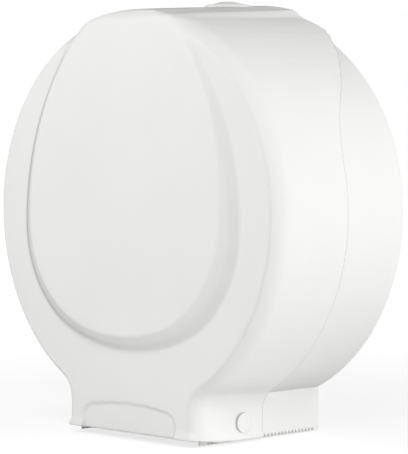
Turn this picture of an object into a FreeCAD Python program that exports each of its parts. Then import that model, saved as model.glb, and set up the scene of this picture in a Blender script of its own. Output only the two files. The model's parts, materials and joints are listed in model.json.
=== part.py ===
import FreeCAD, Part
import math
import os
import Sketcher

# Jumbo toilet roll dispenser: a wall casing with a paper chute below it, a hub for the
# roll core, and a tip-down front cover with a key lock on top.
# Frame: millimetres, origin on the wall at the middle of the drum, +X to the right,
# the front towards -Y, +Z up.

V = FreeCAD.Vector

SIZES = {
    # Casing: drum, chute and back plate
    "casing_radius": 136.4,
    "casing_wall": 2.4,
    "casing_depth": 57.0,
    "back_thickness": 3.0,
    "chute_fall": 15.9,
    "cheek_setback": 9.9,
    "cheek_front_height": 19.3,
    "cheek_root_bite": 1.2,
    "cheek_overlap": 4.0,
    "cheek_bevel": 1.7,
    "cheek_bevel_run": 4.6,
    # Saw teeth along the bottom edges of the chute
    "tooth_pitch": 3.4,
    "tooth_land": 0.25,
    "tooth_height": 2.7,
    "tooth_skin": 0.3,
    "tooth_start": 3.9,
    # Wall screw slots
    "slot_spacing_across": 150.0,
    "slot_spacing_up": 150.0,
    "slot_half_width": 3.0,
    "slot_length": 12.0,
    # Seat of the spindle on the back plate
    "seat_radius": 36.0,
    "seat_depth": 8.0,
    "pilot_radius": 1.5,
    "pilot_floor": 1.4,
    # Notch and strike lugs for the lock under the casing's top
    "notch_clearance": 1.3,
    "notch_reach_down": 36.0,
    "lug_gap": 1.2,
    "lug_width": 12.0,
    "lug_drop": 6.5,
    "lug_thickness": 2.5,
    "lug_clearance": 1.8,
    # Cover shell, measured out from the casing's drum
    "cover_rear_flare": 5.1,
    "cover_band_flare": 0.1,
    "cover_band_depth": 111.8,
    "cover_depth": 123.8,
    "band_inset": 4.9,
    "cover_wall": 2.0,
    "running_gap": 0.35,
    "neck_half_width": 62.5,
    "neck_corner": 14.6,
    "neck_front_wall": 3.5,
    "neck_front_height": 26.3,
    "cover_lift": 0.6,
    # Seam between cover and casing, seen from the side
    "seam_gap": 0.3,
    "seam_wall_height": 124.5,
    "seam_slope": 1.195,
    "seam_bend": 69.0,
    # Raised front panel
    "panel_half_width": 105.5,
    "panel_wide_height": -8.0,
    "panel_low": -93.0,
    "panel_low_radius": 152.8,
    "panel_side_radius": 185.0,
    "panel_shoulder_drop": 10.5,
    "panel_rise": 8.8,
    "bevel_side": 15.5,
    "bevel_low": 10.5,
    "bevel_low_radius": 18.8,
    "bevel_side_radius": 15.0,
    "bevel_wide_lift": 2.0,
    "face_lean_radius": 4000.0,
    "face_lean_foot": -110.0,
    "top_round": 11.5,
    # Raised strip over the top
    "strip_rear_rise": 2.9,
    "strip_front_sink": 0.45,
    "strip_rear_corner_half": 38.0,
    "strip_rear_corner_drop": 4.7,
    "strip_front_corner_half": 38.5,
    "strip_front_corner_drop": 5.25,
    "strip_rear_foot_half": 46.0,
    "strip_rear_foot_sink": 0.3,
    "strip_front_foot_half": 48.4,
    "strip_front_foot_sink": 1.0,
    "strip_root_depth": 31.5,
    # Bottom edge, rolled lip and finger recess of the cover's neck
    "edge_rise_run": 23.8,
    "edge_mid_run": 15.8,
    "edge_mid_height": 1.9,
    "edge_front_height": 4.6,
    "lip_rear_height": 5.9,
    "lip_front_height": 10.7,
    "lip_height": 7.0,
    "lip_flare": 2.2,
    "recess_half_width": 45.7,
    "recess_leg_height": 11.7,
    "recess_shoulder_half": 34.5,
    "recess_shoulder_height": 21.3,
    "recess_corner": 11.0,
    "recess_crown": 212.0,
    "recess_depth": 1.5,
    # Hinge
    "hinge_setback": 76.9,
    "hinge_height": 12.3,
    "pin_radius": 3.0,
    "pin_head_radius": 6.6,
    "pin_head_height": 1.5,
    "pin_tail": 2.2,
    "pin_fit": 0.05,
    "bush_wall": 1.5,
    "clip_half_width": 5.0,
    "clip_thickness": 1.0,
    "clip_gap": 0.3,
    # Lock on top of the cover
    "lock_setback": 28.0,
    "lock_boss_radius": 18.0,
    "lock_floor": 3.0,
    "lock_sink": 1.6,
    "bezel_radius": 16.5,
    "bezel_height": 2.7,
    "bezel_floor": 1.4,
    "sleeve_radius": 9.0,
    "sleeve_reach": 5.0,
    "nut_thickness": 3.0,
    "nut_half_flats": 11.5,
    "nut_fit": 0.05,
    "rotor_radius": 13.4,
    "rotor_gap": 0.35,
    "rotor_edge_height": 3.0,
    "rotor_crown_height": 4.8,
    "barrel_radius": 7.0,
    "barrel_fit": 0.06,
    "key_hole_radius": 1.3,
    "key_hole_spread": 8.0,
    "key_hole_depth": 2.6,
    "cam_gap": 0.5,
    "cam_thickness": 2.5,
    "cam_length": 22.5,
    "cam_width": 12.0,
    "cam_clip": 2.5,
    "tenon_half": 3.0,
    "tenon_fit": 0.05,
    "cam_screw_half_flats": 4.0,
    "cam_screw_head_height": 2.2,
    "cam_screw_radius": 1.5,
    "cam_screw_length": 9.0,
    # Spindle and roll hub
    "spindle_radius": 15.0,
    "spindle_wall": 2.5,
    "spindle_reach": 104.0,
    "spindle_end_plug": 14.0,
    "spindle_flange_radius": 32.0,
    "spindle_flange_height": 3.0,
    "post_screw_circle": 25.0,
    "post_screw_half_flats": 3.3,
    "post_screw_head_height": 2.0,
    "post_screw_length": 9.0,
    "post_screw_hole_fit": 0.6,
    "hub_fit": 0.08,
    "hub_wall": 2.4,
    "hub_rear_gap": 0.5,
    "hub_flange_radius": 45.0,
    "hub_flange_height": 2.0,
    "hub_end_gap": 0.3,
    "fin_radius": 27.5,
    "fin_thickness": 2.0,
    "fin_setback": 8.0,
    "fin_taper": 12.0,
    "fin_tip_radius": 22.0,
    "retainer_radius": 20.0,
    "retainer_height": 1.5,
    "hub_screw_radius": 2.0,
    "hub_screw_hole_fit": 0.2,
    "hub_screw_half_flats": 4.0,
    "hub_screw_head_height": 2.6,
    "hub_screw_length": 12.0,
    # One overrun for every cut
    "overrun": 5.0,
}

# Shares and counts chosen by hand
BAND_SHARES = ((0.0, 0.0), (0.33, 0.11), (0.67, 0.44), (1.0, 1.0))
INNER_BAND_SHARES = ((0.0, 0.0), (0.5, 0.35), (1.0, 1.0))
PANEL_SHARES = ((0.0, 0.0), (0.5, 0.41), (1.0, 1.0))
INNER_PANEL_SHARES = ((0.0, 0.0), (1.0, 1.0))
CROWN_SHARE = 0.7
FIN_COUNT = 6
POST_SCREW_COUNT = 3
HEX_SIDES = 6
TURN = 360.0

doc = FreeCAD.newDocument("RollDispenser")
sheet = doc.addObject("Spreadsheet::Sheet", "Sizes")
for row, (alias, number) in enumerate(SIZES.items(), start=1):
    sheet.set(f"A{row}", alias)
    sheet.set(f"B{row}", str(number))
    sheet.setAlias(f"B{row}", alias)
doc.recompute()


class Size:
    """A number that carries the sheet formula that gives it."""

    def __init__(self, value, formula):
        self.value = float(value)
        self.formula = formula

    def __add__(self, other):
        other = as_size(other)
        return Size(self.value + other.value, f"({self.formula} + {other.formula})")

    def __sub__(self, other):
        other = as_size(other)
        return Size(self.value - other.value, f"({self.formula} - {other.formula})")

    def __mul__(self, other):
        other = as_size(other)
        return Size(self.value * other.value, f"({self.formula} * {other.formula})")

    def __truediv__(self, other):
        other = as_size(other)
        return Size(self.value / other.value, f"({self.formula} / {other.formula})")

    def __rmul__(self, other):
        return as_size(other) * self

    def __rsub__(self, other):
        return as_size(other) - self

    def __radd__(self, other):
        return as_size(other) + self

    def __neg__(self):
        return Size(-self.value, f"(0 - {self.formula})")


def as_size(number):
    return number if isinstance(number, Size) else Size(number, f"({float(number)})")


def root(size):
    return Size(math.sqrt(size.value), f"sqrt({size.formula})")


def size(alias):
    return Size(sheet.get(alias), f"Sizes.{alias}")


ZERO = as_size(0)


def bind(thing, prop, value):
    thing.setExpression(prop, value.formula)


def origin_part(body, role):
    return [item for item in body.Origin.OriginFeatures if item.Role == role][0]


# Sketches and features


def new_body(label):
    body = doc.addObject("PartDesign::Body", label)
    body.Label = label
    return body


def place(thing, x=ZERO, y=ZERO, z=ZERO, turn=None):
    if turn is not None:
        thing.Placement = FreeCAD.Placement(V(0, 0, 0), turn)
    for axis, value in (("x", x), ("y", y), ("z", z)):
        bind(thing, f"Placement.Base.{axis}", value)


def new_sketch(body, role, name, offset=None):
    sketch = body.newObject("Sketcher::SketchObject", name)
    sketch.AttachmentSupport = [(origin_part(body, role), "")]
    sketch.MapMode = "FlatFace"
    if offset is not None:
        bind(sketch, "AttachmentOffset.Base.z", offset)
    return sketch


def hold(sketch, kind, geometry, position, value):
    """Tie one coordinate of a sketch point to the sheet."""
    rule = Sketcher.Constraint(kind, -1, 1, geometry, position, value.value)
    bind(sketch, f"Constraints[{sketch.addConstraint(rule)}]", value)


def hold_point(sketch, geometry, position, x, y):
    hold(sketch, "DistanceX", geometry, position, x)
    hold(sketch, "DistanceY", geometry, position, y)


def arc_curve(start, end, radius, turn, major):
    """Arc from start to end; turn is +1 counter-clockwise and -1 clockwise."""
    chord = end - start
    half = chord.Length / 2
    rise = math.sqrt(max(radius * radius - half * half, 0.0))
    side = turn * (-1 if major else 1)
    normal = V(-chord.y, chord.x, 0) / chord.Length
    centre = start + chord / 2 + normal * (side * rise)
    first, last = (start, end) if turn > 0 else (end, start)
    a = math.atan2(first.y - centre.y, first.x - centre.x)
    b = math.atan2(last.y - centre.y, last.x - centre.x)
    if b <= a:
        b += 2 * math.pi
    return Part.ArcOfCircle(Part.Circle(centre, V(0, 0, 1), radius), a, b)


def arc(radius, turn=1, major=False):
    return (radius, turn, major)


HALF_TURN = "half turn"


def outline(sketch, path):
    """Closed outline through (x, y, edge) corners; edge is None for a line, an arc, or
    HALF_TURN for a half circle, counter-clockwise, to the next corner."""
    count = len(path)
    points = [V(x.value, y.value, 0) for x, y, _ in path]
    ends = []
    for index, (x, y, edge) in enumerate(path):
        start, end = points[index], points[(index + 1) % count]
        if edge is None:
            made = sketch.addGeometry(Part.LineSegment(start, end), False)
            ends.append((made, 1, 2))
        elif edge is HALF_TURN:
            curve = arc_curve(start, end, (end - start).Length / 2, 1, False)
            made = sketch.addGeometry(curve, False)
            ends.append((made, 1, 2))
        else:
            radius, turn, major = edge
            curve = arc_curve(start, end, radius.value, turn, major)
            made = sketch.addGeometry(curve, False)
            ends.append((made, 1, 2) if turn > 0 else (made, 2, 1))
    for index, (x, y, edge) in enumerate(path):
        made, first, last = ends[index]
        after, after_first, _ = ends[(index + 1) % count]
        sketch.addConstraint(
            Sketcher.Constraint("Coincident", made, last, after, after_first)
        )
        hold_point(sketch, made, first, x, y)
        if edge is HALF_TURN:
            chord = points[(index + 1) % count] - points[index]
            if abs(chord.x) > abs(chord.y):
                hold(sketch, "DistanceY", made, 3, y)
            else:
                hold(sketch, "DistanceX", made, 3, x)
        elif edge is not None:
            rule = Sketcher.Constraint("Radius", made, edge[0].value)
            bind(sketch, f"Constraints[{sketch.addConstraint(rule)}]", edge[0])
    return sketch


def circle(sketch, x, y, radius):
    curve = Part.Circle(V(x.value, y.value, 0), V(0, 0, 1), radius.value)
    made = sketch.addGeometry(curve, False)
    hold_point(sketch, made, 3, x, y)
    rule = Sketcher.Constraint("Radius", made, radius.value)
    bind(sketch, f"Constraints[{sketch.addConstraint(rule)}]", radius)
    return sketch


def hexagon_reach(half_flats):
    """Centre to corner of a hexagon."""
    return half_flats / math.cos(math.pi / HEX_SIDES)


def hexagon(sketch, half_flats):
    reach = hexagon_reach(half_flats)
    corners = []
    for step in range(HEX_SIDES):
        angle = 2 * math.pi * step / HEX_SIDES
        corners.append((reach * math.cos(angle), reach * math.sin(angle), None))
    return outline(sketch, corners)


def box_outline(sketch, x0, y0, x1, y1):
    return outline(sketch, [(x0, y0, None), (x1, y0, None), (x1, y1, None), (x0, y1, None)])


def pad(body, sketch, name, length, reverse=False, middle=False):
    made = body.newObject("PartDesign::Pad", name)
    made.Profile = sketch
    bind(made, "Length", length)
    made.Reversed = reverse
    if middle:
        made.SideType = "Symmetric"
    doc.recompute()
    return made


def pocket(body, sketch, name, length, reverse=False, middle=False):
    """Pocket that is checked to have cut something."""
    before = body.Tip.Shape.Volume
    made = body.newObject("PartDesign::Pocket", name)
    made.Profile = sketch
    bind(made, "Length", length)
    made.Reversed = reverse
    if middle:
        made.SideType = "Symmetric"
    doc.recompute()
    if made.Shape.Volume >= before:
        raise RuntimeError(f"{name} cuts nothing")
    return made


def loft(body, sketches, name):
    made = body.newObject("PartDesign::AdditiveLoft", name)
    made.Profile = sketches[0]
    made.Sections = sketches[1:]
    made.Ruled = True
    doc.recompute()
    return made


def revolve(body, sketch, name, axis="H_Axis"):
    made = body.newObject("PartDesign::Revolution", name)
    made.Profile = sketch
    made.ReferenceAxis = (sketch, [axis])
    made.Angle = TURN
    doc.recompute()
    return made


def mirror(body, feature, name, role="YZ_Plane"):
    made = body.newObject("PartDesign::Mirrored", name)
    made.Originals = [feature]
    made.MirrorPlane = (origin_part(body, role), [""])
    body.Tip = made
    doc.recompute()
    return made


def polar(body, feature, name, role, count):
    made = body.newObject("PartDesign::PolarPattern", name)
    made.Originals = [feature]
    made.Axis = (origin_part(body, role), [""])
    made.Angle = TURN
    made.Occurrences = count
    body.Tip = made
    doc.recompute()
    return made


# Casing


def casing_outline(sketch, radius, half_width, low):
    corner = -root(radius * radius - half_width * half_width)
    return outline(
        sketch,
        [
            (-half_width, -low, None),
            (-half_width, corner, arc(radius, -1, True)),
            (half_width, corner, None),
            (half_width, -low, None),
        ],
    )


def chute_half_width():
    return size("neck_half_width") - size("cover_wall") - size("running_gap")


def chute_drop():
    """Depth of the chute's bottom edge below the drum's centre."""
    return size("casing_radius") + size("chute_fall")


def cover_radius_rear():
    return size("casing_radius") + size("cover_rear_flare")


def cover_radius_band():
    return size("casing_radius") + size("cover_band_flare")


def seam_run():
    return size("casing_depth") + size("seam_gap")


def hinge_drop():
    return chute_drop() - size("hinge_height")


def make_casing():
    body = new_body("rear_casing")
    radius, wall, depth = size("casing_radius"), size("casing_wall"), size("casing_depth")
    outer = chute_half_width()
    inner = outer - wall
    low, over = chute_drop(), size("overrun")

    shell = casing_outline(new_sketch(body, "XZ_Plane", "casing_outside"), radius, outer, low)
    pad(body, shell, "casing_block", depth)
    hollow = new_sketch(body, "XZ_Plane", "casing_inside", depth)
    casing_outline(hollow, radius - wall, inner, low + over)
    pocket(body, hollow, "casing_hollow", depth - size("back_thickness"))

    cheek = new_sketch(body, "YZ_Plane", "cheek_side", inner)
    reach = size("cover_depth") - size("cheek_setback")
    inside = radius - wall
    cheek_root = root(inside * inside - inner * inner) - size("cheek_root_bite")
    outline(
        cheek,
        [
            (-(depth - size("cheek_overlap")), -low, None),
            (-(depth - size("cheek_overlap")), -cheek_root, None),
            (-depth, -cheek_root, None),
            (-reach, -(low - size("cheek_front_height")), None),
            (-reach, -low, None),
        ],
    )
    mirror(body, pad(body, cheek, "cheek", wall), "cheek_left")
    bevel = new_sketch(body, "XY_Plane", "cheek_bevel", -(low + over))
    slope = size("cheek_bevel") / size("cheek_bevel_run")
    outline(
        bevel,
        [
            (outer - size("cheek_bevel") - slope * over, -(reach + over), None),
            (outer + over, -(reach + over), None),
            (outer + over, -(reach - size("cheek_bevel_run")), None),
            (outer, -(reach - size("cheek_bevel_run")), None),
        ],
    )
    tall = size("cheek_front_height") + over + over + over
    mirror(body, pocket(body, bevel, "bevel", tall, reverse=True), "bevel_left")

    seat = new_sketch(body, "XZ_Plane", "seat_circle")
    pad(body, circle(seat, ZERO, ZERO, size("seat_radius")), "spindle_seat", size("seat_depth"))
    pilot = new_sketch(body, "XZ_Plane", "pilot_circle", size("seat_depth"))
    circle(pilot, ZERO, size("post_screw_circle"), size("pilot_radius"))
    hole = pocket(body, pilot, "pilot", size("seat_depth") - size("pilot_floor"))
    polar(body, hole, "pilots", "Y_Axis", POST_SCREW_COUNT)

    x = size("slot_spacing_across") / 2
    z = size("slot_spacing_up") / 2
    half, end = size("slot_half_width"), size("slot_length") / 2 - size("slot_half_width")
    slot = new_sketch(body, "XZ_Plane", "wall_slot")
    for sx in (-1, 1):
        for sz in (-1, 1):
            outline(
                slot,
                [
                    (sx * x - end, sz * z - half, None),
                    (sx * x + end, sz * z - half, HALF_TURN),
                    (sx * x + end, sz * z + half, None),
                    (sx * x - end, sz * z + half, HALF_TURN),
                ],
            )
    pocket(body, slot, "wall_slots", depth, middle=True)

    setback = size("lock_setback")
    notch_half = hexagon_reach(size("nut_half_flats")) + size("notch_clearance")
    notch_low = radius - size("notch_reach_down")
    notch = new_sketch(body, "XY_Plane", "lock_notch", notch_low)
    outline(
        notch,
        [
            (-notch_half, -(depth + over), None),
            (notch_half, -(depth + over), None),
            (notch_half, -setback, HALF_TURN),
            (-notch_half, -setback, None),
        ],
    )
    pocket(body, notch, "lock_notch_cut", radius - notch_low + over, reverse=True)

    lug_lead = size("cam_width") / 2 + size("lug_clearance")
    lug_start = notch_half + size("lug_gap")
    lug_end = lug_start + size("lug_width")
    lug_low = root(inside * inside - lug_start * lug_start) - size("lug_drop")
    embed = wall / 2
    lug = new_sketch(body, "XZ_Plane", "strike_lug", setback + lug_lead)
    outline(
        lug,
        [
            (lug_start, lug_low, None),
            (lug_end, lug_low, None),
            (lug_end, root(inside * inside - lug_end * lug_end) + embed, None),
            (lug_start, root(inside * inside - lug_start * lug_start) + embed, None),
        ],
    )
    mirror(body, pad(body, lug, "lug", size("lug_thickness")), "lug_left")

    bush = new_sketch(body, "YZ_Plane", "bush_hole", -(outer + over))
    bush_radius = size("pin_radius") + size("pin_fit") + size("bush_wall")
    circle(bush, -size("hinge_setback"), -hinge_drop(), bush_radius)
    pocket(body, bush, "bush_holes", 2 * (outer + over), reverse=True)

    make_teeth(body, outer, wall, low, reach)
    return body


def make_teeth(body, outer, wall, low, reach):
    """V notches that fade out towards the inner face, so the edge stays closed inside."""
    pitch, over = size("tooth_pitch"), size("overrun")
    half = (pitch - size("tooth_land")) / 2
    height = size("tooth_height")
    run = reach - 2 * size("tooth_start")
    count = int(run.value / pitch.value)
    first = -(size("tooth_start") + half)
    notch = new_sketch(body, "YZ_Plane", "tooth_notch", outer)
    grow = over / height
    outline(
        notch,
        [
            (first, -low + height, None),
            (first - half - half * grow, -low - over, None),
            (first + half + half * grow, -low - over, None),
        ],
    )
    before = body.Tip.Shape.Volume
    cut = body.newObject("PartDesign::Pocket", "tooth")
    cut.Profile = notch
    fade = wall - size("tooth_skin")
    cut.UseCustomVector = True
    bind(cut, "Direction.x", -fade)
    bind(cut, "Direction.z", -height)
    bind(cut, "Length", fade + height)
    doc.recompute()
    row = body.newObject("PartDesign::LinearPattern", "tooth_row")
    row.Direction = (origin_part(body, "Y_Axis"), [""])
    row.Reversed = True
    bind(row, "Length", pitch * (count - 1))
    row.Occurrences = count
    across = body.newObject("PartDesign::Mirrored", "tooth_row_left")
    across.MirrorPlane = (origin_part(body, "YZ_Plane"), [""])
    rows = body.newObject("PartDesign::MultiTransform", "teeth")
    rows.Originals = [cut]
    rows.Transformations = [row, across]
    body.Tip = rows
    doc.recompute()
    if cut.Shape.Volume >= before or rows.Shape.Volume >= cut.Shape.Volume:
        raise RuntimeError("the teeth cut nothing")


# Cover


def shell_outline(sketch, radius, half_width, corner, low):
    """Drum circle and neck sides, joined by rounded inside corners."""
    across = half_width + corner
    reach = radius + corner
    up = -root(reach * reach - across * across)
    share = radius / reach
    return outline(
        sketch,
        [
            (-half_width, -low, None),
            (-half_width, up, arc(corner, 1)),
            (-(across * share), up * share, arc(radius, -1, True)),
            (across * share, up * share, arc(corner, 1)),
            (half_width, up, None),
            (half_width, -low, None),
        ],
    )


def egg_outline(sketch, half_width, wide, low, low_radius, side_radius, shoulder):
    """Egg with a wide round bottom, narrowing towards a flat top at the shoulder."""
    centre = low + low_radius
    drop = centre - wide
    corner = (low_radius * low_radius - half_width * half_width - drop * drop) / (
        2 * (low_radius - half_width)
    )
    share = low_radius / (low_radius - corner)
    join_x = (half_width - corner) * share
    join_z = centre - drop * share
    rise = shoulder - wide
    top_x = half_width - side_radius + root(side_radius * side_radius - rise * rise)
    return outline(
        sketch,
        [
            (-join_x, join_z, arc(low_radius, 1)),
            (join_x, join_z, arc(corner, 1)),
            (half_width, wide, arc(side_radius, 1)),
            (top_x, shoulder, None),
            (-top_x, shoulder, arc(side_radius, 1)),
            (-half_width, wide, arc(corner, 1)),
        ],
    )


def strip_outline(sketch, corner_half, corner_up, foot_half, foot_up, top, low):
    """Crowned top with sloping flanks; the rest is buried in the drum."""
    sag = top - corner_up
    crown = (corner_half * corner_half + sag * sag) / (2 * sag)
    return outline(
        sketch,
        [
            (foot_half, low, None),
            (foot_half, foot_up, None),
            (corner_half, corner_up, arc(crown, 1)),
            (-corner_half, corner_up, None),
            (-foot_half, foot_up, None),
            (-foot_half, low, None),
        ],
    )


def at_depth(rear, front, depth):
    """Value at a depth on the straight run from the wall to the cover's front plane."""
    return rear + (front - rear) * (depth / size("cover_depth"))


def circle_height(radius, across):
    return root(radius * radius - across * across)


def strip_tops():
    """Height of the strip's crown at the wall and at the front plane."""
    rear = cover_radius_rear() + size("strip_rear_rise")
    return rear, cover_radius_band() - size("strip_front_sink")


def neck_corner_at(radius):
    """Corner radius that keeps the drum's arc at one angle, so that its side is a true cone."""
    half, corner = size("neck_half_width"), size("neck_corner")
    share = (half + corner) / (cover_radius_band() + corner)
    return (radius * share - half) / (1 - share)


def make_cover_form(label, inset):
    """The cover's form as one solid, inset all round by a wall, or by zero."""
    body = new_body(label)
    depth, over = size("cover_depth"), size("overrun")
    band = size("cover_band_depth")
    front = depth - inset
    low = chute_drop() + over + over
    rear_start = over if inset.value > 0 else ZERO
    rear_radius = cover_radius_rear() + (
        (cover_radius_rear() - cover_radius_band()) * (rear_start / band)
    )

    stations = [(-rear_start, rear_radius, ZERO)]
    shares = INNER_BAND_SHARES if inset.value > 0 else BAND_SHARES
    for run_share, inset_share in shares:
        stations.append(
            (
                band + (front - band) * run_share,
                cover_radius_band(),
                size("band_inset") * inset_share,
            )
        )
    sections = []
    for number, (place_at, radius, shrink) in enumerate(stations):
        sketch = new_sketch(body, "XZ_Plane", f"{label}_section_{number}", place_at)
        shell_outline(
            sketch,
            radius - shrink - inset,
            size("neck_half_width") - shrink - inset,
            neck_corner_at(radius) + shrink + inset,
            low,
        )
        sections.append(sketch)
    loft(body, sections, f"{label}_drum")

    far_depth = depth + size("panel_rise") - inset
    rear_half, front_half = size("strip_rear_foot_half"), size("strip_front_foot_half")
    rear_foot = circle_height(cover_radius_rear(), rear_half) - size("strip_rear_foot_sink")
    front_foot = circle_height(cover_radius_band(), front_half) - size("strip_front_foot_sink")
    rear_top, front_top = strip_tops()
    rear_corner = rear_top - size("strip_rear_corner_drop")
    front_corner = front_top - size("strip_front_corner_drop")
    strip = []
    for number, station in enumerate((-rear_start, far_depth)):
        sketch = new_sketch(body, "XZ_Plane", f"{label}_strip_{number}", station)
        strip_outline(
            sketch,
            at_depth(size("strip_rear_corner_half"), size("strip_front_corner_half"), station)
            - inset / 2,
            at_depth(rear_corner, front_corner, station) - inset,
            at_depth(rear_half, front_half, station) - inset,
            at_depth(rear_foot, front_foot, station) - inset,
            at_depth(rear_top, front_top, station) - inset,
            cover_radius_band() - size("strip_root_depth"),
        )
        strip.append(sketch)
    loft(body, strip, f"{label}_strip")

    shoulder = cover_radius_band() - size("panel_shoulder_drop") - inset
    panel = []
    shares = INNER_PANEL_SHARES if inset.value > 0 else PANEL_SHARES
    for number, (run_share, inset_share) in enumerate(shares):
        station = front + (far_depth - front) * run_share
        sketch = new_sketch(body, "XZ_Plane", f"{label}_panel_{number}", station)
        egg_outline(
            sketch,
            size("panel_half_width") - size("bevel_side") * inset_share - inset,
            size("panel_wide_height") + size("bevel_wide_lift") * inset_share,
            size("panel_low") + size("bevel_low") * inset_share + inset,
            size("panel_low_radius") - size("bevel_low_radius") * inset_share - inset,
            size("panel_side_radius") - size("bevel_side_radius") * inset_share - inset,
            shoulder,
        )
        panel.append(sketch)
    loft(body, panel, f"{label}_panel")
    lean_face(body, label, inset)
    return body


def face_depth(up):
    """How far the leaning face stands from the wall at a height."""
    rise = up - size("face_lean_foot")
    lean = size("face_lean_radius")
    reach = size("cover_depth") + size("panel_rise")
    return reach - (lean - root(lean * lean - rise * rise))


def lean_face(body, label, inset):
    """Trim the front to the leaning face and the rounded top edge, seen from the side."""
    over, turn = size("overrun"), size("top_round") - inset
    top_rear, top_front = strip_tops()
    centre_up = top_front - size("top_round")
    for _ in range(2):
        centre_back = face_depth(centre_up) - size("top_round")
        centre_up = at_depth(top_rear, top_front, centre_back) - size("top_round")
    lean = size("face_lean_radius")
    foot = size("face_lean_foot")
    reach = size("cover_depth") + size("panel_rise")
    wide = reach + over
    high = top_rear + over
    side = new_sketch(body, "YZ_Plane", f"{label}_lean")
    outline(
        side,
        [
            (-(reach - inset), foot, None),
            (-wide, foot, None),
            (-wide, high, None),
            (-centre_back, high, None),
            (-centre_back, centre_up + turn, arc(turn, 1)),
            (-(centre_back + turn), centre_up, arc(lean, 1)),
        ],
    )
    width = 2 * (cover_radius_rear() + over)
    pocket(body, side, f"{label}_face", width, middle=True)


def lock_seat_height():
    """Height of the flat that the lock's bezel sits on, just below the strip's crown."""
    return at_depth(*strip_tops(), size("lock_setback")) - size("lock_sink")


def make_cover():
    outer = make_cover_form("cover_outside", ZERO)
    over, wall = size("overrun"), size("cover_wall")
    depth, low = size("cover_depth"), chute_drop()
    drop = low - size("cover_lift")
    half = size("neck_half_width")
    band = size("cover_band_depth")
    width = 2 * (cover_radius_rear() + over)

    # Rolled lip round the bottom of the neck, on planes that rise towards the front
    seam = seam_run()
    slope = (size("lip_front_height") - size("lip_rear_height")) / (depth - seam)
    level = low - size("lip_rear_height") + slope * seam
    tilt = FreeCAD.Rotation(V(1, 0, 0), -math.degrees(math.atan(slope.value)))
    lips = []
    for number, (sink, flare) in enumerate(((ZERO, ZERO), (size("lip_height"), size("lip_flare")))):
        sketch = new_sketch(outer, "XY_Plane", f"lip_{number}")
        sketch.AttachmentOffset = FreeCAD.Placement(V(0, 0, 0), tilt)
        bind(sketch, "AttachmentOffset.Base.z", -(level + sink))
        x, rear = half + flare, seam - over
        corner = half - size("band_inset") + flare
        outline(
            sketch,
            [
                (-x, -rear, None),
                (-x, -(band + flare / 2), None),
                (-corner, -(depth + flare), None),
                (corner, -(depth + flare), None),
                (x, -(band + flare / 2), None),
                (x, -rear, None),
            ],
        )
        lips.append(sketch)
    loft(outer, lips, "lip")

    # Finger recess in the front of the neck
    arch_half, shoulder = size("recess_half_width"), size("recess_shoulder_half")
    shoulder_drop = low - size("recess_shoulder_height")
    arch_start = depth + size("lip_flare") + over
    arch = new_sketch(outer, "XZ_Plane", "finger_arch", arch_start)
    outline(
        arch,
        [
            (-arch_half, -(drop + over), None),
            (arch_half, -(drop + over), None),
            (arch_half, -(low - size("recess_leg_height")), arc(size("recess_corner"), 1)),
            (shoulder, -shoulder_drop, arc(size("recess_crown"), 1)),
            (-shoulder, -shoulder_drop, arc(size("recess_corner"), 1)),
            (-arch_half, -(low - size("recess_leg_height")), None),
        ],
    )
    pocket(outer, arch, "finger_recess", arch_start - depth + size("recess_depth"))

    # Bottom edge, rising towards the front
    edge = new_sketch(outer, "YZ_Plane", "bottom_edge")
    ahead = depth + size("lip_flare") + over
    outline(
        edge,
        [
            (over, -drop, None),
            (over, -(drop + over + over + over), None),
            (-ahead, -(drop + over + over + over), None),
            (-ahead, -(low - size("edge_front_height")), None),
            (-(depth - size("edge_mid_run")), -(low - size("edge_mid_height")), None),
            (-(depth - size("edge_rise_run")), -drop, None),
        ],
    )
    pocket(outer, edge, "bottom_edge_cut", width, middle=True)

    # Seam: up the side, round a bend, then on a slant to the wall
    slant, bend = size("seam_slope"), size("seam_bend")
    corner_up = size("seam_wall_height") - slant * seam
    # Tangent length of a bend between a vertical line and a slant
    secant = root(slant * slant + 1)
    tangent = bend * (secant - slant)
    cut = new_sketch(outer, "YZ_Plane", "seam_side")
    outline(
        cut,
        [
            (over, size("seam_wall_height") + slant * over, None),
            (
                -(seam - tangent / secant),
                corner_up + slant * (tangent / secant),
                arc(bend, 1),
            ),
            (-seam, corner_up - tangent, None),
            (-seam, -(drop + over + over), None),
            (over, -(drop + over + over), None),
        ],
    )
    pocket(outer, cut, "seam_cut", width, middle=True)

    # Seat and hole of the lock, and the hinge pin holes
    setback, seat_up = size("lock_setback"), lock_seat_height()
    seat = new_sketch(outer, "XY_Plane", "lock_seat", seat_up)
    circle(seat, ZERO, -setback, size("bezel_radius") + size("nut_fit"))
    rise = strip_tops()[0] - seat_up + over
    pocket(outer, seat, "lock_seat_cut", rise, reverse=True)
    bore = new_sketch(outer, "XY_Plane", "lock_bore", seat_up + over)
    circle(bore, ZERO, -setback, size("sleeve_radius"))
    pocket(outer, bore, "lock_bore_cut", over + over + over)
    pins = new_sketch(outer, "YZ_Plane", "pin_hole")
    circle(pins, -size("hinge_setback"), -hinge_drop(), size("pin_radius"))
    pocket(outer, pins, "pin_holes", width, middle=True)

    # Inside: the same form a wall further in, but thick behind the finger recess and the lock
    inner = make_cover_form("cover_inside", wall)
    thick = new_sketch(inner, "YZ_Plane", "neck_front_side")
    box_outline(
        thick,
        -(depth + over),
        -(drop + 4 * over),
        -(depth - size("neck_front_wall")),
        -(low - size("neck_front_height")),
    )
    pocket(inner, thick, "neck_front_block", width, middle=True)
    boss = new_sketch(inner, "XY_Plane", "lock_boss", seat_up - size("lock_floor"))
    circle(boss, ZERO, -setback, size("lock_boss_radius"))
    pocket(inner, boss, "lock_boss_block", rise + wall + over, reverse=True)

    cover = doc.addObject("Part::Cut", "front_cover")
    cover.Label = "front_cover"
    cover.Base = outer
    cover.Tool = inner
    doc.recompute()
    return cover


# Hinge


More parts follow.
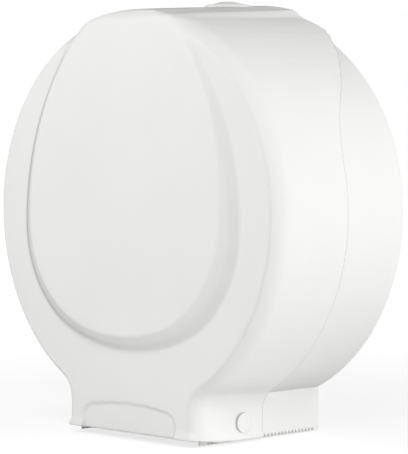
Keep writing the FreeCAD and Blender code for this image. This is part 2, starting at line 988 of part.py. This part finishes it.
def hinge_side(body, side):
    turn = None if side == "right" else FreeCAD.Rotation(V(0, 0, 1), TURN / 2)
    place(body, ZERO, -size("hinge_setback"), -hinge_drop(), turn)


def clip_span():
    """Inner and outer place of the clip along the hinge axis."""
    far = chute_half_width() - size("casing_wall") - size("clip_gap")
    return far - size("clip_thickness"), far


def make_pin(side):
    body = new_body(f"hinge_pin_{side}")
    half = size("neck_half_width")
    shank, head = size("pin_radius"), size("pin_head_radius")
    end = clip_span()[0] - size("pin_tail")
    top = half + size("pin_head_height")
    profile = new_sketch(body, "XZ_Plane", f"pin_profile_{side}")
    outline(
        profile,
        [
            (end, ZERO, None),
            (top, ZERO, None),
            (top, head, None),
            (half, head, None),
            (half, shank, None),
            (end, shank, None),
        ],
    )
    revolve(body, profile, f"pin_turned_{side}")
    hinge_side(body, side)
    return body


def make_bush(side):
    body = new_body(f"hinge_bush_{side}")
    outer = chute_half_width()
    ring = new_sketch(body, "YZ_Plane", f"bush_ring_{side}", outer - size("casing_wall"))
    bore = size("pin_radius") + size("pin_fit")
    circle(ring, ZERO, ZERO, bore)
    circle(ring, ZERO, ZERO, bore + size("bush_wall"))
    pad(body, ring, f"bush_sleeve_{side}", size("casing_wall"))
    hinge_side(body, side)
    return body


def make_clip(side):
    """Square push-on clip that grips the pin inside the cheek."""
    body = new_body(f"hinge_clip_{side}")
    near, far = clip_span()
    half = size("clip_half_width")
    plate = new_sketch(body, "YZ_Plane", f"clip_outline_{side}", near)
    box_outline(plate, -half, -half, half, half)
    circle(plate, ZERO, ZERO, size("pin_radius"))
    pad(body, plate, f"clip_plate_{side}", far - near)
    hinge_side(body, side)
    return body


# Lock


def lock_place(body):
    place(body, ZERO, -size("lock_setback"), ZERO)
    return body


def sleeve_low():
    return size("casing_radius") - size("sleeve_reach")


def make_lock_housing():
    body = new_body("lock_housing")
    seat = lock_seat_height()
    top = seat + size("bezel_height")
    bore = size("barrel_radius") + size("barrel_fit")
    cup = size("rotor_radius") + size("rotor_gap")
    profile = new_sketch(body, "XZ_Plane", "housing_profile")
    outline(
        profile,
        [
            (bore, sleeve_low(), None),
            (size("sleeve_radius"), sleeve_low(), None),
            (size("sleeve_radius"), seat, None),
            (size("bezel_radius"), seat, None),
            (size("bezel_radius"), top, None),
            (cup, top, None),
            (cup, seat + size("bezel_floor"), None),
            (bore, seat + size("bezel_floor"), None),
        ],
    )
    revolve(body, profile, "housing_turned", "V_Axis")
    return lock_place(body)


def make_lock_nut():
    body = new_body("lock_nut")
    top = lock_seat_height() - size("lock_floor")
    plate = new_sketch(body, "XY_Plane", "nut_hexagon", top - size("nut_thickness"))
    hexagon(plate, size("nut_half_flats"))
    circle(plate, ZERO, ZERO, size("sleeve_radius") + size("nut_fit"))
    pad(body, plate, "nut_plate", size("nut_thickness"))
    return lock_place(body)


def cam_levels():
    top = sleeve_low() - size("cam_gap")
    return top - size("cam_thickness"), top


def make_lock_rotor():
    body = new_body("lock_rotor")
    low, top = cam_levels()
    disc = size("rotor_radius")
    seat = lock_seat_height()
    edge_up, crown_up = seat + size("rotor_edge_height"), seat + size("rotor_crown_height")
    step = seat + size("bezel_floor") + size("rotor_gap")
    profile = new_sketch(body, "XZ_Plane", "rotor_profile")
    outline(
        profile,
        [
            (ZERO, top, None),
            (size("barrel_radius"), top, None),
            (size("barrel_radius"), step, None),
            (disc, step, None),
            (disc, edge_up, None),
            (disc * CROWN_SHARE, crown_up, None),
            (ZERO, crown_up, None),
        ],
    )
    revolve(body, profile, "rotor_turned", "V_Axis")
    tenon = new_sketch(body, "XY_Plane", "rotor_tenon", low)
    half = size("tenon_half")
    box_outline(tenon, -half, -half, half, half)
    pad(body, tenon, "rotor_square", top - low)
    holes = new_sketch(body, "XY_Plane", "key_holes", crown_up)
    spread = size("key_hole_spread")
    circle(holes, -spread, ZERO, size("key_hole_radius"))
    circle(holes, spread, ZERO, size("key_hole_radius"))
    pocket(body, holes, "key_hole_cut", size("key_hole_depth"))
    thread = new_sketch(body, "XY_Plane", "cam_screw_bore", low)
    circle(thread, ZERO, ZERO, size("cam_screw_radius"))
    pocket(body, thread, "cam_screw_cut", size("cam_screw_length"), reverse=True)
    return lock_place(body)


def make_lock_cam():
    body = new_body("lock_cam")
    low, top = cam_levels()
    half, reach, clip = size("cam_width") / 2, size("cam_length"), size("cam_clip")
    plate = new_sketch(body, "XY_Plane", "cam_outline", low)
    outline(
        plate,
        [
            (-half, -half, None),
            (half, -half, None),
            (half, reach - clip, None),
            (half - clip, reach, None),
            (-(half - clip), reach, None),
            (-half, reach - clip, None),
        ],
    )
    square = size("tenon_half") + size("tenon_fit")
    box_outline(plate, -square, -square, square, square)
    pad(body, plate, "cam_plate", top - low)
    return lock_place(body)


def hexagon_screw(label, radius, length, half_flats, head_height):
    """Hexagon head screw along local Z, the seat of its head at local zero."""
    body = new_body(label)
    head = new_sketch(body, "XY_Plane", f"{label}_hexagon")
    pad(body, hexagon(head, half_flats), f"{label}_head", head_height)
    shank = new_sketch(body, "XY_Plane", f"{label}_circle")
    pad(body, circle(shank, ZERO, ZERO, radius), f"{label}_shank", length, reverse=True)
    return body


def make_cam_screw():
    low, _ = cam_levels()
    body = hexagon_screw(
        "lock_cam_screw",
        size("cam_screw_radius"),
        size("cam_screw_length") - size("tenon_fit"),
        size("cam_screw_half_flats"),
        size("cam_screw_head_height"),
    )
    turn = FreeCAD.Rotation(V(1, 0, 0), TURN / 2)
    place(body, ZERO, -size("lock_setback"), low, turn)
    return body


# Spindle and hub


def front_face(body, x, depth, z):
    """Turn a piece made along local Z so that it points out from the wall."""
    place(body, x, -depth, z, FreeCAD.Rotation(V(1, 0, 0), TURN / 4))


def make_spindle():
    body = new_body("spindle_post")
    seat = size("seat_depth")
    flange = seat + size("spindle_flange_height")
    outer, inner = size("spindle_radius"), size("spindle_radius") - size("spindle_wall")
    end, bore = size("spindle_reach"), size("hub_screw_radius")
    plug = end - size("spindle_end_plug")
    profile = new_sketch(body, "XY_Plane", "spindle_profile")
    outline(
        profile,
        [
            (inner, -seat, None),
            (size("spindle_flange_radius"), -seat, None),
            (size("spindle_flange_radius"), -flange, None),
            (outer, -flange, None),
            (outer, -end, None),
            (bore, -end, None),
            (bore, -plug, None),
            (inner, -plug, None),
        ],
    )
    revolve(body, profile, "spindle_turned", "V_Axis")
    hole = new_sketch(body, "XZ_Plane", "flange_hole", flange + size("overrun"))
    circle(
        hole,
        ZERO,
        size("post_screw_circle"),
        size("pilot_radius") + size("post_screw_hole_fit"),
    )
    cut = pocket(body, hole, "flange_hole_cut", flange - seat + 2 * size("overrun"))
    polar(body, cut, "flange_holes", "Y_Axis", POST_SCREW_COUNT)
    return body


def make_spindle_screw(number):
    body = hexagon_screw(
        f"spindle_screw_{number}",
        size("pilot_radius"),
        size("post_screw_length"),
        size("post_screw_half_flats"),
        size("post_screw_head_height"),
    )
    angle = 2 * math.pi * (number - 1) / POST_SCREW_COUNT
    circle_radius = size("post_screw_circle")
    front_face(
        body,
        circle_radius * math.sin(angle),
        size("seat_depth") + size("spindle_flange_height"),
        circle_radius * math.cos(angle),
    )
    return body


def hub_end():
    return size("spindle_reach") - size("hub_end_gap")


def make_hub():
    body = new_body("core_hub")
    head_top = size("seat_depth") + size("spindle_flange_height") + size("post_screw_head_height")
    start = head_top + size("hub_rear_gap")
    bore = size("spindle_radius") + size("hub_fit")
    sleeve = bore + size("hub_wall")
    profile = new_sketch(body, "XY_Plane", "hub_profile")
    outline(
        profile,
        [
            (bore, -start, None),
            (size("hub_flange_radius"), -start, None),
            (size("hub_flange_radius"), -(start + size("hub_flange_height")), None),
            (sleeve, -(start + size("hub_flange_height")), None),
            (sleeve, -hub_end(), None),
            (bore, -hub_end(), None),
        ],
    )
    revolve(body, profile, "hub_turned", "V_Axis")
    rib = new_sketch(body, "YZ_Plane", "fin_side")
    root_at = bore + size("hub_wall") / 2
    tip = size("spindle_reach") - size("fin_setback")
    outline(
        rib,
        [
            (-start, root_at, None),
            (-start, size("fin_radius"), None),
            (-(tip - size("fin_taper")), size("fin_radius"), None),
            (-tip, size("fin_tip_radius"), None),
            (-tip, root_at, None),
        ],
    )
    fin = pad(body, rib, "fin", size("fin_thickness"), middle=True)
    polar(body, fin, "fins", "Y_Axis", FIN_COUNT)
    return body


def make_retainer():
    body = new_body("hub_washer")
    disc = new_sketch(body, "XZ_Plane", "washer_rings", size("spindle_reach"))
    circle(disc, ZERO, ZERO, size("retainer_radius"))
    circle(disc, ZERO, ZERO, size("hub_screw_radius") + size("hub_screw_hole_fit"))
    pad(body, disc, "washer_plate", size("retainer_height"))
    return body


def make_hub_screw():
    body = hexagon_screw(
        "hub_screw",
        size("hub_screw_radius"),
        size("hub_screw_length"),
        size("hub_screw_half_flats"),
        size("hub_screw_head_height"),
    )
    front_face(body, ZERO, size("spindle_reach") + size("retainer_height"), ZERO)
    return body


pieces = [make_casing(), make_cover()]
for hand in ("left", "right"):
    pieces += [make_pin(hand), make_bush(hand), make_clip(hand)]
pieces += [make_lock_housing(), make_lock_nut(), make_lock_rotor(), make_lock_cam()]
pieces += [make_cam_screw(), make_spindle(), make_hub(), make_retainer(), make_hub_screw()]
for number in range(1, POST_SCREW_COUNT + 1):
    pieces.append(make_spindle_screw(number))
doc.recompute()

for item in doc.Objects:
    if "Invalid" in item.State or "Error" in item.State:
        raise RuntimeError(f"{item.Label} failed: {item.State}")
for piece in pieces:
    if piece.Shape.isNull() or not piece.Shape.isValid() or not piece.Shape.Solids:
        raise RuntimeError(f"{piece.Label} has no valid solid")

os.makedirs("parts", exist_ok=True)
for piece in pieces:
    piece.Shape.exportStep(os.path.join("parts", f"{piece.Label}.step"))
    box = piece.Shape.BoundBox
    print(
        f"{piece.Label}: {len(piece.Shape.Solids)} solid, volume {piece.Shape.Volume:.0f},"
        f" x {box.XMin:.2f} {box.XMax:.2f} y {box.YMin:.2f} {box.YMax:.2f}"
        f" z {box.ZMin:.2f} {box.ZMax:.2f}"
    )
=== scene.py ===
import json
import math

import bmesh
import bpy
import numpy as np
from mathutils import Matrix, Vector


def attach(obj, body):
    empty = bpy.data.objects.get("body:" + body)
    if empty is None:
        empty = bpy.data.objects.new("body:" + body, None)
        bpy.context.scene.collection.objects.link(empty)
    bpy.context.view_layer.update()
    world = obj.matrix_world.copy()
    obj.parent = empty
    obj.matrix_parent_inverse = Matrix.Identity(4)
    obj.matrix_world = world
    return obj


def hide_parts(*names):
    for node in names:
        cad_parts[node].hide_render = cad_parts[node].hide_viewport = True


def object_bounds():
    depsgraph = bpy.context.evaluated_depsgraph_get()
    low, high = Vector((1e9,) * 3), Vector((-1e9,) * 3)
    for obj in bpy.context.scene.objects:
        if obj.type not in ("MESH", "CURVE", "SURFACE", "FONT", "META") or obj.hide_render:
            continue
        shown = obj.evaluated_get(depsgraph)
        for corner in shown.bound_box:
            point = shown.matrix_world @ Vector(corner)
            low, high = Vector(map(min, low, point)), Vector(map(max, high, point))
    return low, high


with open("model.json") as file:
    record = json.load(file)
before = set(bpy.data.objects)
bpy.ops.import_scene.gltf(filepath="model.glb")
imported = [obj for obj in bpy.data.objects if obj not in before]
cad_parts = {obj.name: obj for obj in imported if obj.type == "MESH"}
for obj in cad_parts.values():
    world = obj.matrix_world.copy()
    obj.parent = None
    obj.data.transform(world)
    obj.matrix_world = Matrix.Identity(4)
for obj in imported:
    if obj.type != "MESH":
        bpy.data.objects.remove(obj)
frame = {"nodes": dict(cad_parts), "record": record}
cad_box = [list(corner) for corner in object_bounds()]

scene = bpy.context.scene
scene.view_settings.view_transform = "Standard"
MM = 0.001

# Camera: the photograph's angle, a long lens from the right, almost level
AZIMUTH, ELEVATION = math.radians(45.21), math.radians(2.04)
DISTANCE, LENS_MM, SENSOR_MM = 1.447, 160.65, 36.0
SIDEWAYS, UPWARD = -0.0366, -0.0129

forward = Vector(
    (
        -math.sin(AZIMUTH) * math.cos(ELEVATION),
        math.cos(AZIMUTH) * math.cos(ELEVATION),
        -math.sin(ELEVATION),
    )
)
right = Vector((math.cos(AZIMUTH), math.sin(AZIMUTH), 0.0))
up = right.cross(forward)
target = right * SIDEWAYS + Vector((0.0, 0.0, UPWARD))
camera_data = bpy.data.cameras.new("camera")
camera_data.lens = LENS_MM
camera_data.sensor_width = SENSOR_MM
camera_data.clip_start = 0.05
camera = bpy.data.objects.new("camera", camera_data)
scene.collection.objects.link(camera)
turn = Matrix((right, up, -forward)).transposed().to_4x4()
camera.matrix_world = Matrix.Translation(target - forward * DISTANCE) @ turn
scene.camera = camera


# Materials


def node_material(name):
    """New material with one Principled shader, and what is needed to build on it."""
    material = bpy.data.materials.new(name)
    material.use_nodes = True
    nodes = material.node_tree.nodes
    nodes.clear()
    output = nodes.new("ShaderNodeOutputMaterial")
    shader = nodes.new("ShaderNodeBsdfPrincipled")
    material.node_tree.links.new(shader.outputs["BSDF"], output.inputs["Surface"])
    return material, nodes, material.node_tree.links, shader


# Plastic: its Fresnel value seen straight on, the share of its colour darkened away seen edge on
# as painted shade, its specular level and the height of its orange peel in millimetres
PLASTIC_IOR = 1.5
FACING_FRESNEL = 0.04
GLANCING_PAINTED_SHADE = 0.85
SHINE = 0.1
PEEL = 0.03
BEVEL_SAMPLES = 8


def moulded_plastic(name, low, high, rough_low, rough_high, edge):
    """Moulded plastic: faint cloudiness, uneven gloss, a fine orange peel, soft edges and painted
    shade that darkens its colour seen edge on.
    """
    material, nodes, links, shader = node_material(name)
    place = nodes.new("ShaderNodeTexCoord")

    cloud = nodes.new("ShaderNodeTexNoise")
    cloud.inputs["Scale"].default_value = 14.0
    cloud.inputs["Detail"].default_value = 3.0
    links.new(place.outputs["Object"], cloud.inputs["Vector"])
    tint = nodes.new("ShaderNodeValToRGB")
    tint.color_ramp.elements[0].position = 0.3
    tint.color_ramp.elements[0].color = (*low, 1.0)
    tint.color_ramp.elements[1].position = 0.7
    tint.color_ramp.elements[1].color = (*high, 1.0)
    links.new(cloud.outputs["Fac"], tint.inputs["Fac"])

    soft_edge = nodes.new("ShaderNodeBevel")
    soft_edge.samples = BEVEL_SAMPLES
    soft_edge.inputs["Radius"].default_value = edge * MM
    # Painted shade: a Fresnel node darkens the base colour where the surface is seen edge on, so
    # tops and rims seen at a glancing angle look darker
    glancing = nodes.new("ShaderNodeFresnel")
    glancing.inputs["IOR"].default_value = PLASTIC_IOR
    links.new(soft_edge.outputs["Normal"], glancing.inputs["Normal"])
    # Factor of painted shade that scales the colour down at glancing angles
    depth = nodes.new("ShaderNodeMapRange")
    depth.inputs["From Min"].default_value = FACING_FRESNEL
    depth.inputs["To Min"].default_value = 1.0
    depth.inputs["To Max"].default_value = 1.0 - GLANCING_PAINTED_SHADE
    links.new(glancing.outputs["Fac"], depth.inputs["Value"])
    shaded = nodes.new("ShaderNodeVectorMath")
    shaded.operation = "SCALE"
    links.new(tint.outputs["Color"], shaded.inputs[0])
    links.new(depth.outputs["Result"], shaded.inputs["Scale"])
    links.new(shaded.outputs["Vector"], shader.inputs["Base Color"])

    haze = nodes.new("ShaderNodeTexNoise")
    haze.inputs["Scale"].default_value = 45.0
    haze.inputs["Detail"].default_value = 4.0
    links.new(place.outputs["Object"], haze.inputs["Vector"])
    gloss = nodes.new("ShaderNodeMapRange")
    gloss.inputs["To Min"].default_value = rough_low
    gloss.inputs["To Max"].default_value = rough_high
    links.new(haze.outputs["Fac"], gloss.inputs["Value"])
    links.new(gloss.outputs["Result"], shader.inputs["Roughness"])

    grain = nodes.new("ShaderNodeTexNoise")
    grain.inputs["Scale"].default_value = 260.0
    grain.inputs["Detail"].default_value = 2.0
    links.new(place.outputs["Object"], grain.inputs["Vector"])
    bump = nodes.new("ShaderNodeBump")
    bump.inputs["Strength"].default_value = 0.35
    bump.inputs["Distance"].default_value = PEEL * MM
    links.new(grain.outputs["Fac"], bump.inputs["Height"])
    links.new(soft_edge.outputs["Normal"], bump.inputs["Normal"])
    links.new(bump.outputs["Normal"], shader.inputs["Normal"])

    shader.inputs["IOR"].default_value = PLASTIC_IOR
    shader.inputs["Specular IOR Level"].default_value = SHINE
    return material


def plated_steel(name):
    """Zinc-plated steel: soft clouded sheen with fine directional scratches."""
    material, nodes, links, shader = node_material(name)
    place = nodes.new("ShaderNodeTexCoord")
    stretch = nodes.new("ShaderNodeMapping")
    stretch.inputs["Scale"].default_value = (60.0, 900.0, 900.0)
    links.new(place.outputs["Object"], stretch.inputs["Vector"])
    lines = nodes.new("ShaderNodeTexNoise")
    lines.inputs["Scale"].default_value = 1.0
    lines.inputs["Detail"].default_value = 5.0
    links.new(stretch.outputs["Vector"], lines.inputs["Vector"])
    tint = nodes.new("ShaderNodeValToRGB")
    tint.color_ramp.elements[0].color = (0.50, 0.50, 0.51, 1.0)
    tint.color_ramp.elements[1].color = (0.72, 0.72, 0.71, 1.0)
    links.new(lines.outputs["Fac"], tint.inputs["Fac"])
    links.new(tint.outputs["Color"], shader.inputs["Base Color"])
    gloss = nodes.new("ShaderNodeMapRange")
    gloss.inputs["To Min"].default_value = 0.28
    gloss.inputs["To Max"].default_value = 0.46
    links.new(lines.outputs["Fac"], gloss.inputs["Value"])
    links.new(gloss.outputs["Result"], shader.inputs["Roughness"])
    shader.inputs["Metallic"].default_value = 1.0
    return material


WHITE_LOW, WHITE_HIGH = (0.855, 0.852, 0.838), (0.875, 0.872, 0.858)
OFFWHITE_LOW, OFFWHITE_HIGH = (0.74, 0.74, 0.72), (0.78, 0.78, 0.76)
GREY_LOW, GREY_HIGH = (0.55, 0.56, 0.56), (0.60, 0.61, 0.61)
LOOKS = {
    "cover_plastic": moulded_plastic("cover_white", WHITE_LOW, WHITE_HIGH, 0.30, 0.40, 0.3),
    "casing_plastic": moulded_plastic("casing_white", WHITE_LOW, WHITE_HIGH, 0.30, 0.42, 0.4),
    "fitting_plastic": moulded_plastic("fitting_white", WHITE_LOW, WHITE_HIGH, 0.24, 0.34, 0.5),
    "hub_plastic": moulded_plastic("hub_offwhite", OFFWHITE_LOW, OFFWHITE_HIGH, 0.4, 0.55, 0.4),
    "bush_plastic": moulded_plastic("bush_grey", GREY_LOW, GREY_HIGH, 0.4, 0.5, 0.3),
    "steel": plated_steel("plated_steel"),
}
slot_of = {row["node"]: row["material_slot"] for row in frame["record"]["subparts"]}
for node in frame["nodes"]:
    thing = bpy.data.objects[node]
    thing.data.materials.clear()
    thing.data.materials.append(LOOKS[slot_of[node]])


# Moulded cover: an even mesh of the cover's solid, relaxed where the moulding is soft

SAME_PLACE = 0.002 * MM


def modified(mesh, kind, settings):
    """The mesh after one modifier."""
    thing = bpy.data.objects.new("work", mesh)
    scene.collection.objects.link(thing)
    modifier = thing.modifiers.new("work", kind)
    for key, value in settings.items():
        setattr(modifier, key, value)
    view = bpy.context.evaluated_depsgraph_get()
    result = bpy.data.meshes.new_from_object(thing.evaluated_get(view))
    bpy.data.objects.remove(thing)
    bpy.data.meshes.remove(mesh)
    return result


def even_mesh(node, cell):
    """Closed mesh of small even faces over a solid."""
    work = bmesh.new()
    work.from_mesh(bpy.data.objects[node].data)
    bmesh.ops.remove_doubles(work, verts=work.verts, dist=SAME_PLACE)
    joined = bpy.data.meshes.new(f"{node}_joined")
    work.to_mesh(joined)
    work.free()
    return modified(joined, "REMESH", {"mode": "VOXEL", "voxel_size": cell * MM})


def ramp(values, start, end):
    """0 before start, 1 after end, and a straight run between."""
    return np.clip((values - start) / (end - start), 0.0, 1.0)


def relax(places, edges, weight, rounds, keep_size=False):
    """Pull each point towards the middle of its neighbours, by its weight."""
    first, last = edges[(weight[edges] > 0.0).any(axis=1)].T
    count = len(places)
    links = np.bincount(first, minlength=count) + np.bincount(last, minlength=count)
    links = np.maximum(links, 1)[:, None]
    steps = (0.5, -0.53) if keep_size else (0.5,)
    for _ in range(rounds):
        for step in steps:
            total = np.empty_like(places)
            for axis in range(3):
                total[:, axis] = np.bincount(first, places[last, axis], count)
                total[:, axis] += np.bincount(last, places[first, axis], count)
            places += (total / links - places) * (step * weight)[:, None]
    return places


# Arc of the drum's front edge in (radius, depth) millimetres: its middle and its radius
BAND_MIDDLE, BAND_ARC = (103.18, 105.20), 33.97
BAND_START, BAND_END = 11.2, 33.2


def round_band(places):
    """Bring the outer face of the drum's front edge onto one arc."""
    x, depth, z = (np.abs(places[:, 0]) / MM, -places[:, 1] / MM, places[:, 2] / MM)
    radius = np.hypot(x, z)
    out, on = radius - BAND_MIDDLE[0], depth - BAND_MIDDLE[1]
    reach, angle = np.hypot(out, on), np.degrees(np.arctan2(on, out))
    share = ramp(angle, BAND_START, BAND_START + 1.5) * ramp(angle, BAND_END, BAND_END - 1.0)
    share *= reach > BAND_ARC - 1.5
    share *= np.where(z > 0.0, ramp(x, 47.0, 52.0), ramp(z, -106.0, -98.0))
    change = share * (BAND_ARC / np.maximum(reach, 1.0) - 1.0)
    grown = 1.0 + change * out / np.maximum(radius, 1.0)
    places[:, 0] *= grown
    places[:, 2] *= grown
    places[:, 1] -= change * on * MM
    return places


SEAM_CLOSING = 0.2


def close_seam(places, edges):
    """Even out the cover's rear rim and bring it nearer to the casing."""
    depth, z = -places[:, 1] / MM, places[:, 2] / MM
    seam = depth[(z > -100.0) & (z < 40.0)].min()
    rim = ramp(depth, seam + 2.5, seam + 0.5) * ramp(z, 70.0, 60.0)
    relax(places, edges, rim, 5, keep_size=True)
    places[:, 1] += SEAM_CLOSING * MM * ramp(depth, seam + 1.4, seam + 0.4) * ramp(z, 70.0, 60.0)


def soften_cover(places, edges):
    """Relax the cover's mesh region by region, each bounded in millimetres."""
    x, depth, z = np.abs(places[:, 0]) / MM, -places[:, 1] / MM, places[:, 2] / MM
    radius = np.hypot(x, z)
    everywhere = np.ones(len(places))
    relax(places, edges, everywhere, 3, keep_size=True)
    close_seam(places, edges)
    upper = ramp(z, -116.0, -108.0)
    round_band(places)
    band = upper * ramp(depth, 104.0, 108.0) * ramp(depth, 122.0, 120.0)
    relax(places, edges, band, 6)
    relax(places, edges, upper * ramp(depth, 120.0, 122.0), 1)
    panel = upper * ramp(depth, 120.0, 121.0) * ramp(radius, 129.0, 125.0)
    relax(places, edges, panel, 2)
    strip = ramp(z, 122.0, 126.0) * ramp(x, 26.0, 32.0) * ramp(x, 58.0, 52.0)
    relax(places, edges, strip * ramp(depth, 4.0, 12.0), 6)
    corner = ramp(z, 104.0, 114.0) * ramp(depth, 98.0, 108.0) * ramp(x, 22.0, 34.0)
    relax(places, edges, corner * ramp(x, 74.0, 62.0), 20)
    notch = ramp(z, 108.0, 116.0) * ramp(depth, 104.0, 110.0) * ramp(x, 38.0, 44.0)
    relax(places, edges, notch * ramp(x, 66.0, 58.0), 40)
    neck = ramp(depth, 106.0, 110.0) * ramp(z, -104.0, -110.0) * ramp(x, 50.0, 54.0)
    relax(places, edges, neck, 4)
    return places


def reshape(mesh, change):
    """Run change over the mesh's points and edges."""
    places = np.empty(len(mesh.vertices) * 3, np.float32)
    mesh.vertices.foreach_get("co", places)
    edges = np.empty(len(mesh.edges) * 2, np.int32)
    mesh.edges.foreach_get("vertices", edges)
    places = change(places.reshape(-1, 3).astype(np.float64), edges.reshape(-1, 2))
    places = np.clip(places, cad_box[0], cad_box[1])
    mesh.vertices.foreach_set("co", places.astype(np.float32).ravel())
    mesh.update()


def moulded_piece(node, body, name, cell, kept, change):
    """Softened piece in a CAD node's place: cells in millimetres, then a share of faces kept."""
    mesh = even_mesh(node, cell)
    reshape(mesh, change)
    mesh = modified(mesh, "DECIMATE", {"ratio": kept})
    mesh.name = name
    mesh.materials.clear()
    mesh.materials.append(LOOKS[slot_of[node]])
    mesh.shade_smooth()
    piece = bpy.data.objects.new(name, mesh)
    scene.collection.objects.link(piece)
    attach(piece, body)
    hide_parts(node)


# Lock in millimetres: y of its axis, then radii and drops of the cone over bezel and rotor
LOCK_Y = -28.0
BEZEL_OUT, BEZEL_IN, BEZEL_DROP = 16.5, 14.0, 0.8
CONE_IN, ROTOR_OUT, CONE_DROP = 5.0, 13.4, 2.4
CHAMFER_IN, CHAMFER_DROP = 9.38, 1.8


def lock_radius(places):
    """Distance of each point from the lock's axis in millimetres."""
    return np.hypot(places[:, 0] / MM, places[:, 1] / MM - LOCK_Y)


def soften_bezel(places, edges):
    """Slope the bezel's top down towards its rim."""
    radius, z = lock_radius(places), places[:, 2] / MM
    top = z.max()
    share = ramp(z, top - 2.4, top) * ramp(radius, BEZEL_IN, BEZEL_OUT)
    places[:, 2] -= share * BEZEL_DROP * MM
    return relax(places, edges, ramp(z, top - 2.0, top - 1.0), 3)


def soften_dome(places, edges):
    """Turn the rotor's top and chamfer into one low cone."""
    radius, z = lock_radius(places), places[:, 2] / MM
    top = z.max()
    cone = CONE_DROP * ramp(radius, CONE_IN, ROTOR_OUT)
    chamfer = CHAMFER_DROP * ramp(radius, CHAMFER_IN, ROTOR_OUT)
    share = ramp(z, top - chamfer - 1.5, top - chamfer - 0.4)
    places[:, 2] -= share * (cone - chamfer) * MM
    return relax(places, edges, ramp(z, top - 3.0, top - 2.0) * ramp(radius, 9.6, 10.2), 3)


moulded_piece("front_cover", "cover", "cover_moulding", cell=1.0, kept=0.22, change=soften_cover)
moulded_piece(
    "lock_housing", "cover", "lock_bezel_moulding", cell=0.4, kept=0.3, change=soften_bezel
)
moulded_piece("lock_rotor", "lock", "lock_dome_moulding", cell=0.35, kept=0.3, change=soften_dome)


# Floor, world and lights

SEEN_BY = ("Is Camera Ray", "Is Glossy Ray", "Is Transmission Ray")


def any_ray(nodes, links, kinds):
    """Socket that is 1 for a ray of any of the given kinds, else 0."""
    path = nodes.new("ShaderNodeLightPath")
    found = path.outputs[kinds[0]]
    for kind in kinds[1:]:
        either = nodes.new("ShaderNodeMath")
        either.operation = "MAXIMUM"
        links.new(found, either.inputs[0])
        links.new(path.outputs[kind], either.inputs[1])
        found = either.outputs["Value"]
    return found


def floor_material():
    """Light table: clear with a shadow to the camera, lamps shine through it, else matt."""
    material = bpy.data.materials.new("pale_floor")
    material.use_nodes = True
    nodes, links = material.node_tree.nodes, material.node_tree.links
    nodes.clear()
    output = nodes.new("ShaderNodeOutputMaterial")
    matt = nodes.new("ShaderNodeBsdfDiffuse")
    matt.inputs["Color"].default_value = (0.9, 0.9, 0.9, 1.0)
    thin = nodes.new("ShaderNodeBsdfDiffuse")
    thin.inputs["Color"].default_value = (0.3, 0.3, 0.3, 1.0)
    clear = nodes.new("ShaderNodeBsdfTransparent")
    place = nodes.new("ShaderNodeTexCoord")
    away = nodes.new("ShaderNodeVectorMath")
    away.operation = "LENGTH"
    links.new(place.outputs["Object"], away.inputs[0])
    fade = nodes.new("ShaderNodeMapRange")
    fade.inputs["From Min"].default_value = 0.3
    fade.inputs["From Max"].default_value = 1.2
    fade.inputs["To Min"].default_value = 0.76
    fade.inputs["To Max"].default_value = 1.0
    links.new(away.outputs["Value"], fade.inputs["Value"])
    links.new(fade.outputs["Result"], clear.inputs["Color"])
    seen = nodes.new("ShaderNodeAddShader")
    links.new(thin.outputs["BSDF"], seen.inputs[0])
    links.new(clear.outputs["BSDF"], seen.inputs[1])
    rays = SEEN_BY + ("Is Shadow Ray",)
    mix = nodes.new("ShaderNodeMixShader")
    links.new(any_ray(nodes, links, rays), mix.inputs["Fac"])
    links.new(matt.outputs["BSDF"], mix.inputs[1])
    links.new(seen.outputs["Shader"], mix.inputs[2])
    links.new(mix.outputs["Shader"], output.inputs["Surface"])
    return material


FLOOR_HALF = 6.0
floor_mesh = bpy.data.meshes.new("floor")
floor_mesh.from_pydata(
    [
        (-FLOOR_HALF, -FLOOR_HALF, 0.0),
        (FLOOR_HALF, -FLOOR_HALF, 0.0),
        (FLOOR_HALF, FLOOR_HALF, 0.0),
        (-FLOOR_HALF, FLOOR_HALF, 0.0),
    ],
    [],
    [(0, 1, 2, 3)],
)
floor = bpy.data.objects.new("floor", floor_mesh)
scene.collection.objects.link(floor)
floor.location.z = cad_box[0][2] - MM
floor_mesh.materials.append(floor_material())

AMBIENT = 0.225
world = bpy.data.worlds.new("studio")
scene.world = world
world.use_nodes = True
sky, sky_links = world.node_tree.nodes, world.node_tree.links
sky.clear()
sky_output = sky.new("ShaderNodeOutputWorld")
soft = sky.new("ShaderNodeBackground")
soft.inputs["Strength"].default_value = AMBIENT
white = sky.new("ShaderNodeBackground")
white.inputs["Strength"].default_value = 1.0
for background in (soft, white):
    background.inputs["Color"].default_value = (1.0, 1.0, 1.0, 1.0)
sky_mix = sky.new("ShaderNodeMixShader")
sky_links.new(any_ray(sky, sky_links, SEEN_BY), sky_mix.inputs["Fac"])
sky_links.new(soft.outputs["Background"], sky_mix.inputs[1])
sky_links.new(white.outputs["Background"], sky_mix.inputs[2])
sky_links.new(sky_mix.outputs["Shader"], sky_output.inputs["Surface"])

# Azimuth from straight in front towards the object's right, elevation, distance and size
# in metres, power in watts
LAMPS = {
    "front_left": (-30.0, 20.0, 2.2, 1.6, 8.6),
    "front_high": (-12.0, 36.0, 0.9, 0.7, 2.42),
    "key": (42.0, 38.0, 2.2, 0.7, 9.9),
    "rear_right_low": (120.0, -6.0, 2.2, 1.6, 23.6),
    "rear_right_high": (120.0, 35.0, 2.2, 1.6, 15.0),
}


def softbox(name, azimuth, elevation, distance, size, power):
    """Square area lamp aimed at the object."""
    a, e = math.radians(azimuth), math.radians(elevation)
    data = bpy.data.lights.new(name, "AREA")
    data.shape = "SQUARE"
    data.size = size
    data.energy = power
    lamp = bpy.data.objects.new(name, data)
    scene.collection.objects.link(lamp)
    spot = Vector((math.sin(a) * math.cos(e), -math.cos(a) * math.cos(e), math.sin(e)))
    lamp.location = spot * distance
    lamp.rotation_euler = (-spot).to_track_quat("-Z", "Y").to_euler()


for name, values in LAMPS.items():
    softbox(name, *values)
